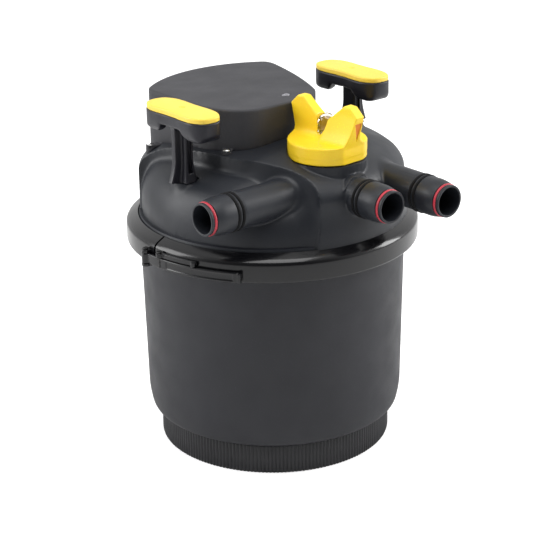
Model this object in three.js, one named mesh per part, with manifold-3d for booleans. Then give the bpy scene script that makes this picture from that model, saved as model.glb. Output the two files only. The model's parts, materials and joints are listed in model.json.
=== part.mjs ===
// Pond pressure filter: a clamped canister with foam rings that two T-handles squeeze, a selector valve
// with three hose ports, and an ultraviolet lamp under the housing on the lid.
// Millimetres, +Z up, origin at the middle of the underside. -Y is the front, -X the latch side.
import * as THREE from 'three';
import { mergeVertices } from 'three/addons/utils/BufferGeometryUtils.js';
import Module from 'manifold-3d';

const wasm = await Module();
wasm.setup();

// ---- driving dimensions ----
const CLEAR = 0.4;               // gap between pieces that face each other
const WALL = 4;                  // moulded wall
const ROUND = 40;                // facets round the canister

const BASE_R = 157;              // ribbed foot ring
const BASE_H = 40;
const BUCKET_LOW_R = 173;        // canister body, which widens a little towards the rim
const BUCKET_TOP_R = 177;
const RIM_R = 188.5;             // clamped flanges of bucket and lid
const RIM_Z = 298.5;             // where the two flanges meet
const BAND_R = 195;              // clamp band
const BAND_LOW = 284;
const BAND_HIGH = 320;

const LID_R = 176;               // drum wall of the lid
const DOME_TOP = 432;            // crown of the lid

const VALVE_Y = -112;            // selector valve, upright in front of the crown
const TOWER_R = 50;
const TOWER_TOP = 416;
const CHAMBER_R = 38;
const KNOB_R = 50.5;
const KNOB_RIM_TOP = 440;
const KNOB_TOP = 489;
const KNOB_FLAT = 47;            // the flat that is cut on the drum below each wing
const KNOB_REACH = 58;           // how far each wing leans out at its widest
const KNOB_REACH_Z = 477;
const KNOB_RIM_Z = 437;          // where the drum's side ends and the wings start
const KNOB_SEAT_Z = 446;         // floor of the pocket for the sight dome
const KNOB_TURN = 4;             // where the knob stands, in degrees from straight ahead

const PORT_BORE_R = 18;          // hose ports
const PORT_LIP_R = 20.8;
const PORT_BODY_R = 24;
const PORT_Z = 377;
const PORT_A_MOUTH = -203;       // along -X
const PORT_B_MOUTH = -233;       // along -Y
const PORT_C_X = 68;
const PORT_C_MOUTH = -264;       // along -Y

const HOUSING_TOP = 476.5;       // housing for the lamp's electrics
const HOUSING_REAR_R = 165;
const HOUSING_LEFT = -109;
const HOUSING_FRONT = -52;
const SCREW_HOLE_R = 2.4;
const SCREW_HEAD_R = 4.6;
const EAR_R = 6.5;

const ROD_X = 143.5;             // T-handles and their rods
const ROD_R = 6;
const BOSS_R = 14;               // bosses in the lid that the rods pass through
const LEFT_FOOT = 388;           // where the foot of each handle rests
const RIGHT_FOOT = 409;
const GRIP_LENGTH = 124;
const GRIP_WIDTH = 46;
const GRIP_TOP = 484;

const PLATE_Z = 64;              // squeeze plate
const PLATE_T = 8;
const CAGE_Z = 286;              // fixed plate above the foam
const TUBE_R = 44;               // slotted tube in the foam
const FOAM_R = 126;
const FOAM_COUNT = 4;

const LEVER_PIVOT_DEG = 176;     // clamp lever, along the lower half of the band
const LEVER_END_DEG = 219;
const LINK_PIN_DEG = 184.5;
const CATCH_DEG = 199;
const SEAM_DEG = 180;

// ---- materials ----
function plastic(color, roughness) {
  return new THREE.MeshStandardMaterial({ color, roughness, metalness: 0 });
}

function metal(color, roughness) {
  return new THREE.MeshStandardMaterial({ color, roughness, metalness: 1 });
}

function glassy(color, roughness, opacity) {
  return new THREE.MeshStandardMaterial({ color, roughness, transparent: true, opacity });
}

const CHARCOAL = plastic(0x35373b, 0.55);
const LID_GREY = plastic(0x2c3036, 0.45);
const GLOSS_BLACK = plastic(0x141518, 0.25);
const HOUSING_GREY = plastic(0x3d3e42, 0.6);
const HANDLE_BLACK = plastic(0x1d1e24, 0.4);
const YELLOW = plastic(0xfdc62a, 0.45);
const PALE_YELLOW = plastic(0xfbe14a, 0.5);
const CLEAR_PLASTIC = glassy(0xdfe6ea, 0.08, 0.4);
const SEAL_BLACK = plastic(0x0e0e10, 0.5);
const SEAL_RED = plastic(0xc8323e, 0.5);
const FOAM_BLUE = plastic(0x3a5a86, 0.95);
const STEEL = metal(0xc9cacc, 0.3);
const QUARTZ = glassy(0xeef3f5, 0.05, 0.3);
const LAMP_WHITE = plastic(0xf0f0f4, 0.3);
const INNER_GREY = plastic(0x26282c, 0.6);

// ---- solids ----
function toSolid(geometry) {
  const plain = geometry.clone();
  plain.deleteAttribute('normal');
  plain.deleteAttribute('uv');
  const welded = mergeVertices(plain, 1e-4);
  return new wasm.Manifold(new wasm.Mesh({
    numProp: 3,
    vertProperties: new Float32Array(welded.attributes.position.array),
    triVerts: new Uint32Array(welded.index.array),
  }));
}

function toGeometry(solid) {
  const mesh = solid.getMesh();
  const geometry = new THREE.BufferGeometry();
  geometry.setAttribute('position', new THREE.BufferAttribute(mesh.vertProperties, 3));
  geometry.setIndex(new THREE.BufferAttribute(mesh.triVerts, 1));
  geometry.computeVertexNormals();
  return geometry;
}

// A ring or disc of revolution about Z. The profile is [radius, height] pairs, anticlockwise.
function turned(profile, facets = ROUND) {
  const points = profile.map(([r, z]) => new THREE.Vector2(r, z));
  if (profile[0][0] > 0 || profile.at(-1)[0] > 0) {
    points.push(points[0].clone());
  }
  return new THREE.LatheGeometry(points, facets).rotateX(Math.PI / 2);
}

function disc(radius, low, high, facets = 32) {
  return turned([[0, low], [radius, low], [radius, high], [0, high]], facets);
}

function ring(inner, outer, low, high, facets = 32) {
  return turned([[outer, low], [outer, high], [inner, high], [inner, low]], facets);
}

// A torus that lies flat, with a section of the given number of sides.
function oRing(radius, section, z, facets = 20, sides = 5) {
  return new THREE.TorusGeometry(radius, section, sides, facets).translate(0, 0, z);
}

function block(x0, x1, y0, y1, z0, z1) {
  return new THREE.BoxGeometry(x1 - x0, y1 - y0, z1 - z0)
    .translate((x0 + x1) / 2, (y0 + y1) / 2, (z0 + z1) / 2);
}

function raised(shape, low, high, curveSegments = 8) {
  return new THREE.ExtrudeGeometry(shape, { depth: high - low, bevelEnabled: false, curveSegments })
    .translate(0, 0, low);
}

function shapeOf(points) {
  return new THREE.Shape(points.map(([x, y]) => new THREE.Vector2(x, y)));
}

function polar(radius, degrees) {
  const angle = THREE.MathUtils.degToRad(degrees);
  return [radius * Math.cos(angle), radius * Math.sin(angle)];
}

// A piece of a ring seen from above, between two angles.
function arcShape(inner, outer, from, to, steps = 8) {
  const points = [];
  for (let i = 0; i <= steps; i += 1) {
    points.push(polar(outer, from + ((to - from) * i) / steps));
  }
  for (let i = steps; i >= 0; i -= 1) {
    points.push(polar(inner, from + ((to - from) * i) / steps));
  }
  return shapeOf(points);
}

function cutAll(body, tools) {
  return tools.reduce((left, tool) => left.subtract(toSolid(tool)), toSolid(body));
}

function joinAll(geometries) {
  return geometries.map(toSolid).reduce((whole, next) => whole.add(next));
}

// ---- the assembly ----
const filter = new THREE.Group();

function place(name, geometry, material, x = 0, y = 0, z = 0) {
  const mesh = new THREE.Mesh(geometry, material);
  mesh.name = name;
  mesh.position.set(x, y, z);
  filter.add(mesh);
  return mesh;
}

// ---- canister ----
function makeBucket() {
  const outer = [
    [0, 20], [140, 20], [146, 26], [146, BASE_H + CLEAR], [158, BASE_H + CLEAR],
    [167, 48], [BUCKET_LOW_R, 68], [BUCKET_TOP_R, 290], [RIM_R, 292], [RIM_R, RIM_Z],
  ];
  const sealGroove = [[184.2, RIM_Z], [184.2, 294.5], [178.8, 294.5], [178.8, RIM_Z]];
  const inner = [
    [BUCKET_TOP_R - WALL, RIM_Z], [BUCKET_LOW_R - WALL, 68], [161, 49], [142, 44], [142, 24], [0, 24],
  ];
  return turned([...outer, ...sealGroove, ...inner]);
}

function makeBaseRing() {
  return turned([
    [0, 0], [BASE_R - 2, 0], [BASE_R, 2], [BASE_R, BASE_H], [BASE_R - 7, BASE_H], [BASE_R - 7, 5], [0, 5],
  ]);
}

const LEVER_IN = BAND_R + 0.6;
const LEVER_OUT = BAND_R + 6;
const LEVER_Z = [286, 299.5];
const LINK_Z = [300.2, 307];
const PIN_R = 1.8;
const EYE_R = 5.5;
const PIVOT = polar(BAND_R + 5, LEVER_PIVOT_DEG);
const LINK_PIVOT = polar(BAND_R + 5, LINK_PIN_DEG);

// Two ears that hold the lever's pin, and the lug that the link hooks over.
function bandFittings() {
  const below = [LEVER_Z[0] - 4.4, LEVER_Z[0] - CLEAR];
  const above = [LEVER_Z[1] + CLEAR, LEVER_Z[1] + 4.4];
  const plan = arcShape(192, BAND_R + 5, LEVER_PIVOT_DEG - 1.5, LEVER_PIVOT_DEG + 1.5, 2);
  const pinHole = toSolid(disc(PIN_R + CLEAR, 270, 310, 16)).translate([...PIVOT, 0]);
  const ears = [below, above].map(([low, high]) => {
    const eye = disc(EYE_R, low, high, 20).translate(PIVOT[0], PIVOT[1], 0);
    return joinAll([raised(plan, low, high), eye]).subtract(pinHole);
  });
  const lug = raised(arcShape(192, BAND_R + 2.4, CATCH_DEG - 0.7, CATCH_DEG + 0.7, 2), 301, 306.2);
  return [...ears, toSolid(lug)];
}

function makeBand() {
  const section = [
    [BAND_R - 1.5, BAND_LOW], [BAND_R, BAND_LOW + 2], [BAND_R, 309], [BAND_R - 3, 313], [179, BAND_HIGH],
    [179, 317], [190, 311.5], [190, 289], [180, 287.5], [180, BAND_LOW],
  ];
  const seam = raised(arcShape(170, 215, SEAM_DEG - 0.6, SEAM_DEG + 0.6, 2), 270, 330);
  const band = bandFittings().reduce((whole, next) => whole.add(next), toSolid(turned(section)));
  return toGeometry(band.subtract(toSolid(seam)));
}

// ---- lid ----
const DOME = [
  [LID_R, 376], [170, 391.5], [153, 404.5], [122, 417], [80, 427], [0, DOME_TOP],
];

// The shelf's edge seen from above, from the drum wall at the back left to the corner beside the valve.
const SHELF_EDGE = [
  [-150, 108], [-139, 104], [-127, 92], [-120, 62], [-116, 15], [-112, -10], [-108, -36], [-99, -58],
  [-88, -76], [-79, -95], [-68, -114], [-61, -134], [-57, -154], [-62, -175],
];

function highPlan(inset) {
  const edge = SHELF_EDGE.map(([x, y]) => [x + inset, y + inset * 0.5]);
  const far = 260;
  return shapeOf([
    ...edge, [-62 + inset, -far], [far, -far], [far, far], [-far, far], [-far, 108 + inset * 0.5],
  ]);
}

function highDome(offset) {
  const upper = DOME.map(([r, z]) => [Math.max(r - (r > 0 ? offset : 0), 0), z - offset]);
  return turned([[0, 290], [LID_R - offset, 290], ...upper]);
}

function lowDome(offset) {
  const shoulder = [[166, 352], [160, 372], [146, 387], [118, 400], [0, 410]];
  const low = shoulder.map(([r, z]) => [Math.max(r - (r > 0 ? offset : 0), 0), z - offset]);
  return turned([[0, 290], [168 - offset, 290], ...low]);
}

function portBody(length, rootRadius = PORT_BODY_R) {
  // Along +Z from the root at 0 to the mouth at length.
  const m = length;
  return turned([
    [0, 0], [rootRadius, 0], [rootRadius, m - 49], [22.4, m - 49], [22.4, m - 45], [PORT_BODY_R, m - 45],
    [PORT_BODY_R, m - 42], [22.4, m - 42], [22.4, m - 38], [PORT_BODY_R, m - 38], [PORT_BODY_R, m - 16],
    [22, m - 8], [19.9, m - 8], [19.9, m - 4], [PORT_LIP_R, m - 4], [PORT_LIP_R, m], [0, m],
  ], 20);
}

// Turns a port that points along +Z so that it points along -X or -Y, with its root at the given place.
function towards(geometry, side, x, y, z) {
  if (side === 'left') {
    geometry.rotateY(-Math.PI / 2);
  } else {
    geometry.rotateX(Math.PI / 2);
  }
  return geometry.translate(x, y, z);
}

const PORTS = [
  { key: 'a', side: 'left', x: -30, y: VALVE_Y, mouth: -PORT_A_MOUTH - 30 },
  { key: 'b', side: 'front', x: 0, y: VALVE_Y - 30, mouth: VALVE_Y - 30 - PORT_B_MOUTH },
  { key: 'c', side: 'front', x: PORT_C_X, y: -110, mouth: -110 - PORT_C_MOUTH },
];

const SCREWS = [[-122, 102], [-99, -31], [84, 16], [103, 76]];

function domeHeight(x, y) {
  const r = Math.hypot(x, y);
  const i = DOME.findIndex(([radius]) => radius <= r);
  const [r0, z0] = DOME[i - 1];
  const [r1, z1] = DOME[i];
  return z0 + ((r0 - r) / (r0 - r1)) * (z1 - z0);
}

function makeLid() {
  const rim = ring(164, RIM_R, 300, 309);
  const collar = turned([[RIM_R, 309], [LID_R, 315.5], [164, 318], [164, 309]]);
  let shell = toSolid(highDome(0)).intersect(toSolid(raised(highPlan(0), 200, 500)));
  shell = shell.add(toSolid(lowDome(0)));
  shell = shell.intersect(toSolid(disc(300, 300, 500)));
  shell = shell.add(toSolid(rim)).add(toSolid(collar));
  shell = shell.add(toSolid(block(-57, 50, -156, -70, 316, 380)));
  shell = shell.add(toSolid(disc(TOWER_R, 340, TOWER_TOP)).translate([0, VALVE_Y, 0]));
  for (const port of PORTS) {
    shell = shell.add(toSolid(towards(portBody(port.mouth), port.side, port.x, port.y, PORT_Z)));
  }
  for (const x of [-ROD_X, ROD_X]) {
    const top = (x < 0 ? LEFT_FOOT : RIGHT_FOOT) - 1;
    shell = shell.add(toSolid(disc(BOSS_R, 340, top, 16)).translate([x, 0, 0]));
  }
  // Hollow, then the valve's chamber back in it.
  let cavity = toSolid(highDome(5)).intersect(toSolid(raised(highPlan(5), 200, 500)));
  cavity = cavity.add(toSolid(lowDome(5)));
  const chamber = toSolid(disc(CHAMBER_R + 5, 335, 415)).translate([0, VALVE_Y, 0]);
  const bosses = [-ROD_X, ROD_X].map((x) => toSolid(disc(BOSS_R + 7, 345, 420, 16)).translate([x, 0, 0]));
  const feeds = PORTS.map((port) => (
    toSolid(towards(disc(PORT_BORE_R + 4, -2, port.mouth - 50, 20), port.side, port.x, port.y, PORT_Z))));
  const kept = [chamber, ...bosses, ...feeds].reduce((all, next) => all.add(next));
  shell = shell.subtract(cavity.subtract(kept));
  // Bores.
  shell = shell.subtract(toSolid(disc(CHAMBER_R, 300, 500)).translate([0, VALVE_Y, 0]));
  for (const port of PORTS) {
    const bore = disc(PORT_BORE_R, -25, port.mouth + 5, 20);
    shell = shell.subtract(toSolid(towards(bore, port.side, port.x, port.y, PORT_Z)));
  }
  for (const x of [-ROD_X, ROD_X]) {
    shell = shell.subtract(toSolid(disc(ROD_R + CLEAR, 300, 500, 16)).translate([x, 0, 0]));
    shell = shell.subtract(toSolid(disc(9.2, 352, 357, 16)).translate([x, 0, 0]));
  }
  shell = shell.subtract(toSolid(disc(26, 300, 500)));
  // Seats that the knob and the feet of the handles sit down into.
  shell = shell.subtract(toSolid(disc(KNOB_R + 1, TOWER_TOP, 500)).translate([0, VALVE_Y, 0]));
  for (const [x, footZ] of [[-ROD_X, LEFT_FOOT], [ROD_X, RIGHT_FOOT]]) {
    shell = shell.subtract(toSolid(block(x - 11, x + 11, -17, 17, footZ - 0.6, 430)));
  }
  for (const [x, y] of SCREWS) {
    shell = shell.subtract(toSolid(disc(SCREW_HOLE_R, 380, 500, 8)).translate([x, y, 0]));
  }
  return toGeometry(shell);
}

// ---- housing on the lid ----
// The housing seen from above: the rear follows the drum, the right side slants in towards the valve.
function housingOutline(inset) {
  const rear = HOUSING_REAR_R - inset;
  const left = HOUSING_LEFT + inset;
  const front = HOUSING_FRONT + inset;
  const [rightX, rightY] = polar(rear, 55);
  const [backX, backY] = polar(rear, 127);
  const shape = new THREE.Shape();
  shape.moveTo(left + 60, front);
  shape.lineTo(20, front);
  shape.quadraticCurveTo(38 - inset, front + 2, 56 - inset, -25);
  shape.quadraticCurveTo(84 - inset, 32, 100 - inset, 104);
  shape.quadraticCurveTo(107 - inset, 125, rightX, rightY);
  shape.absarc(0, 0, rear, THREE.MathUtils.degToRad(55), THREE.MathUtils.degToRad(127), false);
  shape.quadraticCurveTo(left, (backX - left) * 0.2 + backY - 4, left, 110);
  shape.lineTo(left, 12);
  shape.quadraticCurveTo(left + 12, front, left + 60, front);
  return shape;
}

function earInward(x, y) {
  return new THREE.Vector2(-10 - x, 45 - y).setLength(10);
}

function earTop(x, y) {
  const inward = earInward(x, y);
  return domeHeight(x + inward.x, y + inward.y) + 2.4;
}

// The floor of the counterbore that a screw's head sits in.
function earFloor(x, y) {
  const inward = earInward(x, y);
  return domeHeight(x + inward.x / 2, y + inward.y / 2) + 1;
}

// The ear that a cover screw goes through, from the screw back into the housing's wall.
function screwEar(x, y) {
  const inward = earInward(x, y);
  const ear = toSolid(disc(EAR_R, 380, earTop(x, y), 20));
  const middle = ear.translate([x + inward.x / 2, y + inward.y / 2, 0]);
  return ear.translate([x, y, 0]).add(middle).add(ear.translate([x + inward.x, y + inward.y, 0]));
}

function makeHousing() {
  let cover = joinAll([
    raised(housingOutline(0), 380, HOUSING_TOP - 4),
    raised(housingOutline(3), HOUSING_TOP - 4, HOUSING_TOP),
  ]);
  for (const [x, y] of SCREWS) {
    cover = cover.add(screwEar(x, y));
  }
  cover = cover.subtract(toSolid(raised(housingOutline(WALL), 300, HOUSING_TOP - WALL)));
  cover = cover.subtract(toSolid(highDome(-CLEAR)));
  for (const [x, y] of SCREWS) {
    cover = cover.subtract(toSolid(disc(SCREW_HOLE_R, 380, 500, 8)).translate([x, y, 0]));
    cover = cover.subtract(toSolid(disc(SCREW_HEAD_R + 0.6, earFloor(x, y), 440, 16)).translate([x, y, 0]));
  }
  cover = cover.subtract(toSolid(lampWindowShape(CLEAR)));
  cover = cover.subtract(toSolid(gland(10.4)));
  return toGeometry(cover);
}

const WINDOW = { x: 6, y: -24, long: 6, wide: 4.2 };

function lampWindowShape(grow) {
  const oval = new THREE.Shape();
  oval.absellipse(0, 0, WINDOW.long + grow, WINDOW.wide + grow, 0, Math.PI * 2, false, 0);
  return raised(oval, HOUSING_TOP - 6 - grow, HOUSING_TOP + 0.8 + grow, 6).translate(WINDOW.x, WINDOW.y, 0);
}

const GLAND = { z: 446, y: HOUSING_REAR_R, out: 16 };

function gland(radius) {
  return disc(radius, -20, 20, 20).rotateX(-Math.PI / 2).translate(0, GLAND.y, GLAND.z);
}

function makeGland() {
  const body = turned([
    [3.6, -12], [10, -12], [10, 4], [13, 4], [13, 10], [8, GLAND.out], [3.6, GLAND.out],
  ], 20);
  return body.rotateX(-Math.PI / 2).translate(0, GLAND.y, GLAND.z);
}

function makeCoverScrew() {
  const tip = -22;
  return turned([[0, tip], [2, tip], [2, 0], [SCREW_HEAD_R, 0], [SCREW_HEAD_R, 1.8], [3, 3], [0, 3]], 8);
}

// ---- valve ----
const KNOB_LEAN = Math.atan((KNOB_REACH - KNOB_FLAT) / (KNOB_REACH_Z - KNOB_RIM_Z));

// A shape and its mirror image, given one half as [distance from the middle, height].
function mirrored(half) {
  return shapeOf([...half, ...half.map(([x, z]) => [-x, z]).reverse()]);
}

function long(shape, depth = 120) {
  return new THREE.ExtrudeGeometry(shape, { depth, bevelEnabled: false }).translate(0, 0, -depth / 2);
}

// Two wings that lean outwards, a butterfly seen from the side, with flanks that flare out to the rim.
function makeWings() {
  const side = mirrored([
    [2, 461.5], [36, KNOB_TOP], [46, KNOB_TOP], [KNOB_REACH, KNOB_REACH_Z], [KNOB_FLAT, KNOB_RIM_Z],
    [KNOB_FLAT, 430],
  ]);
  const flanks = mirrored([
    [52, 430], [52, 437.5], [36, 438.8], [25, 440.5], [18, 443.5], [13.5, 448], [10.5, 453], [8.3, 460],
    [7, 470], [7, KNOB_TOP + 1],
  ]);
  const cone = turned([
    [0, 430], [KNOB_R, 430], [KNOB_R, KNOB_RIM_Z], [KNOB_REACH + 0.5, KNOB_REACH_Z],
    [KNOB_REACH + 0.5, 500], [0, 500],
  ]);
  const butterfly = toSolid(long(side).rotateY(Math.PI / 2).rotateX(Math.PI / 2));
  return butterfly.intersect(toSolid(long(flanks).rotateX(Math.PI / 2))).intersect(toSolid(cone));
}

// The pointed recess in the leaning end of the front wing.
function pointerRecess() {
  const tip = 443;
  const deep = 1.5;
  const pointer = shapeOf([[-6.5, 27.2], [0, 0], [6.5, 27.2]]);
  const recess = new THREE.ExtrudeGeometry(pointer, { depth: 12, bevelEnabled: false });
  const face = KNOB_FLAT + (tip - KNOB_RIM_Z) * Math.tan(KNOB_LEAN);
  return recess.rotateX(Math.PI / 2 + KNOB_LEAN).translate(0, deep - face, tip);
}

function makeKnob() {
  const drum = turned([
    [0, 417], [KNOB_R, 417], [KNOB_R, KNOB_RIM_Z], [KNOB_R - 2, KNOB_RIM_TOP], [0, KNOB_RIM_TOP],
  ]);
  const flats = toSolid(block(-60, 60, -KNOB_FLAT, KNOB_FLAT, 400, 500));
  const body = toSolid(drum).intersect(flats).add(makeWings());
  const hollow = ring(17, 42, 400, 421, ROUND);
  const knob = cutAll(toGeometry(body), [
    hollow, disc(12.5, KNOB_SEAT_Z, 500, 32), disc(3.3, 400, 500, 16), pointerRecess(),
  ]);
  return toGeometry(knob).rotateZ(THREE.MathUtils.degToRad(KNOB_TURN));
}

function makeSightDome() {
  return turned([
    [0, 457], [8.6, 457], [8.6, 446.6], [12, 446.6], [12, 460], [9.5, 468.5], [0, 473],
  ], 24);
}

function makeRotor() {
  const body = turned([
    [0, 344], [CHAMBER_R - 1, 344], [CHAMBER_R - 1, 400], [34.5, 400], [34.5, 405], [CHAMBER_R - 1, 405],
    [CHAMBER_R - 1, 410], [16, 410], [16, 416.6], [0, 416.6],
  ]);
  const passage = disc(17, -60, 0, 16);
  return toGeometry(cutAll(body, [
    passage.clone().rotateY(Math.PI / 2).translate(0, 0, PORT_Z),
    passage.clone().rotateX(-Math.PI / 2).translate(0, 0, PORT_Z),
    disc(3.3, 388, 500, 16),
  ]));
}

function makeKnobScrew() {
  return turned([[0, 392], [2.8, 392], [2.8, 446.6], [6, 446.6], [6, 450], [0, 451]], 16);
}

// ---- handles ----
// A fin along the outer side of the stem, which widens towards the foot. Outward is -1 or 1.
function stemFin(footZ, outward) {
  const profile = [[5, footZ], [17, footZ], [13, footZ + 24], [13, 456], [5, 456]];
  const shape = shapeOf(profile.map(([x, z]) => [x * outward, z]));
  return toSolid(long(shape, 8).rotateX(Math.PI / 2));
}

function makeHandle(footZ, outward) {
  const half = GRIP_LENGTH / 2;
  const top = GRIP_TOP - 8;
  const shape = new THREE.Shape();
  shape.moveTo(-half, top);
  shape.bezierCurveTo(-half, 462, -half + 6, 450, -half + 18, 450);
  shape.bezierCurveTo(-30, 450, -27, 462, -19, 462);
  shape.lineTo(-12, 455);
  shape.lineTo(-12.5, footZ + 30);
  shape.lineTo(-16, footZ);
  shape.lineTo(16, footZ);
  shape.lineTo(12.5, footZ + 30);
  shape.lineTo(12, 455);
  shape.lineTo(19, 462);
  shape.bezierCurveTo(27, 462, 30, 450, half - 18, 450);
  shape.bezierCurveTo(half - 6, 450, half, 462, half, top);
  const side = new THREE.ExtrudeGeometry(shape, { depth: 60, bevelEnabled: false, curveSegments: 6 });
  side.translate(0, 0, -30).rotateX(Math.PI / 2).rotateZ(Math.PI / 2);
  const front = mirrored([
    [10, footZ], [7, footZ + 26], [7, 449], [14, 450], [GRIP_WIDTH / 2 - 1, 466], [GRIP_WIDTH / 2, top],
  ]);
  const across = long(front, GRIP_LENGTH + 16).rotateX(Math.PI / 2);
  const plan = raised(gripOutline(0), footZ - 1, top, 4);
  let handle = toSolid(side).intersect(toSolid(across)).intersect(toSolid(plan));
  handle = handle.add(stemFin(footZ, outward));
  handle = handle.subtract(toSolid(disc(ROD_R + CLEAR, footZ - 5, footZ + 40, 16)));
  return toGeometry(handle);
}

function gripOutline(inset) {
  const half = GRIP_LENGTH / 2 - inset;
  const wide = GRIP_WIDTH / 2 - inset;
  const shape = new THREE.Shape();
  shape.moveTo(-wide + 2, 0);
  shape.bezierCurveTo(-wide + 2, half * 0.3, -wide - 1, half * 0.4, -wide, half * 0.6);
  shape.bezierCurveTo(-wide + 1, half * 0.94, -wide * 0.5, half, 0, half);
  shape.bezierCurveTo(wide * 0.5, half, wide - 1, half * 0.94, wide, half * 0.6);
  shape.bezierCurveTo(wide + 1, half * 0.4, wide - 2, half * 0.3, wide - 2, 0);
  shape.bezierCurveTo(wide - 2, -half * 0.3, wide + 1, -half * 0.4, wide, -half * 0.6);
  shape.bezierCurveTo(wide - 1, -half * 0.94, wide * 0.5, -half, 0, -half);
  shape.bezierCurveTo(-wide * 0.5, -half, -wide + 1, -half * 0.94, -wide, -half * 0.6);
  shape.bezierCurveTo(-wide - 1, -half * 0.4, -wide + 2, -half * 0.3, -wide + 2, 0);
  return shape;
}

function makeGripInsert() {
  const low = GRIP_TOP - 8 + CLEAR;
  const pad = joinAll([
    raised(gripOutline(0.5), low, GRIP_TOP - 3, 4),
    raised(gripOutline(4), GRIP_TOP - 3, GRIP_TOP, 4),
  ]);
  return toGeometry(pad);
}

function makeRod(footZ) {
  const low = PLATE_Z - 12;
  const step = PLATE_Z + PLATE_T + CLEAR;
  const high = footZ + 38;
  return turned([[0, low], [5, low], [5, step], [ROD_R, step], [ROD_R, high], [0, high]], 16);
}

function makeRodNut() {
  const nut = new THREE.CylinderGeometry(10, 10, 7, 6).rotateX(Math.PI / 2);
  nut.translate(0, 0, PLATE_Z - CLEAR - 3.5);
  return toGeometry(cutAll(nut, [disc(5 + CLEAR, 0, 100, 16)]));
}

// ---- inside ----
function makeSqueezePlate() {
  const plate = ring(TUBE_R + 5, 158, PLATE_Z, PLATE_Z + PLATE_T);
  const holes = [-ROD_X, ROD_X].map((x) => disc(5 + CLEAR, 0, 100, 16).translate(x, 0, 0));
  for (let i = 0; i < 8; i += 1) {
    const [x, y] = polar(100, 22.5 + i * 45);
    holes.push(disc(13, 0, 100, 8).translate(x, y, 0));
  }
  return toGeometry(cutAll(plate, holes));
}

function makeCagePlate() {
  const plate = ring(TUBE_R + 1, 168, CAGE_Z, CAGE_Z + 6);
  const holes = [-ROD_X, ROD_X].map((x) => disc(9, 200, 400, 20).translate(x, 0, 0));
  return toGeometry(cutAll(plate, holes));
}

function makeCentreTube() {
  const tube = turned([
    [TUBE_R, 27], [TUBE_R, CAGE_Z - CLEAR], [TUBE_R + 0.5, CAGE_Z - CLEAR], [TUBE_R + 0.5, CAGE_Z + 8],
    [TUBE_R - 3, CAGE_Z + 8], [TUBE_R - 3, 30], [0, 30], [0, 27],
  ]);
  const slots = [];
  for (let level = 0; level < 3; level += 1) {
    for (let i = 0; i < 3; i += 1) {
      const slot = block(-80, 80, -5, 5, 74 + level * 68, 128 + level * 68);
      slots.push(slot.rotateZ((i * Math.PI) / 3));
    }
  }
  return toGeometry(cutAll(tube, slots));
}

const FOAM_LOW = PLATE_Z + PLATE_T + CLEAR;
const FOAM_HIGH = CAGE_Z - CLEAR;
const FOAM_STEP = (FOAM_HIGH - FOAM_LOW) / FOAM_COUNT;

function makeFoam(index) {
  const low = FOAM_LOW + index * FOAM_STEP;
  return ring(TUBE_R + 2, FOAM_R, low + 0.3, low + FOAM_STEP - 0.3);
}

function makeSleeve() {
  return turned([
    [0, 60], [18, 60], [19, 62], [19, 446], [17.4, 446], [17.4, 61.6], [0, 61.6],
  ], 24);
}

function makeSleeveNut() {
  return ring(19.6, 34, 434, 446, 24);
}

function makeLampSocket() {
  return turned([
    [0, 447], [22, 447], [22, 462], [14, 466], [0, 466],
  ], 24);
}

function makeLamp() {
  return turned([
    [0, 75], [7, 78], [8, 84], [8, 428], [13, 428], [13, 446.4], [0, 446.4],
  ], 16);
}

function makeBallast() {
  return block(-92, -44, 40, 110, 436, 468);
}

// ---- clamp lever ----
function makeLever() {
  const bar = raised(arcShape(LEVER_IN, LEVER_OUT, LEVER_PIVOT_DEG + 1, LEVER_END_DEG), ...LEVER_Z);
  const lip = raised(arcShape(LEVER_IN, LEVER_OUT + 4, LEVER_END_DEG - 1.5, LEVER_END_DEG, 2), ...LEVER_Z);
  const eye = disc(EYE_R, ...LEVER_Z, 20).translate(PIVOT[0], PIVOT[1], 0);
  let lever = joinAll([bar, lip, eye]);
  for (const hole of [PIVOT, LINK_PIVOT]) {
    lever = lever.subtract(toSolid(disc(PIN_R + CLEAR, 280, 305, 16)).translate([...hole, 0]));
  }
  lever = lever.subtract(toSolid(disc(LEVER_IN, 280, 305, 96)));
  return toGeometry(lever);
}

function makeLink() {
  const bar = raised(arcShape(LEVER_IN, BAND_R + 4.5, LINK_PIN_DEG, CATCH_DEG + 2.5), ...LINK_Z);
  const eye = disc(5, ...LINK_Z, 20).translate(LINK_PIVOT[0], LINK_PIVOT[1], 0);
  let link = joinAll([bar, eye]);
  link = link.subtract(toSolid(disc(PIN_R + CLEAR, 295, 312, 16)).translate([...LINK_PIVOT, 0]));
  link = link.subtract(toSolid(disc(LEVER_IN, 295, 312, 96)));
  const window = raised(arcShape(180, 205, CATCH_DEG - 1.1, CATCH_DEG + 1.1, 2), 295, 312);
  return toGeometry(link.subtract(toSolid(window).intersect(toSolid(disc(BAND_R + 3, 295, 312, 96)))));
}

// A pin with a head, from low to high.
function makePin(low, high) {
  return turned([
    [0, low], [PIN_R, low], [PIN_R, high], [3.2, high], [3.2, high + 1.5], [0, high + 1.5],
  ], 16);
}

// ---- placing every piece ----
place('bucket', makeBucket(), CHARCOAL);
place('base_ring', makeBaseRing(), CHARCOAL);
place('lid', makeLid(), LID_GREY);
place('lid_seal', ring(179.2, 183.8, 294.9, 299.6, ROUND), SEAL_BLACK);
place('clamp_band', makeBand(), GLOSS_BLACK);

for (const port of PORTS) {
  const red = towards(oRing(20.9, 0.8, port.mouth - 6), port.side, port.x, port.y, PORT_Z);
  place(`port_ring_${port.key}`, red, SEAL_RED);
  for (const [index, back] of [[1, 40], [2, 47]]) {
    const seal = towards(oRing(24.1, 1.5, port.mouth - back), port.side, port.x, port.y, PORT_Z);
    place(`port_seal_${port.key}${index}`, seal, SEAL_BLACK);
  }
}

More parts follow.
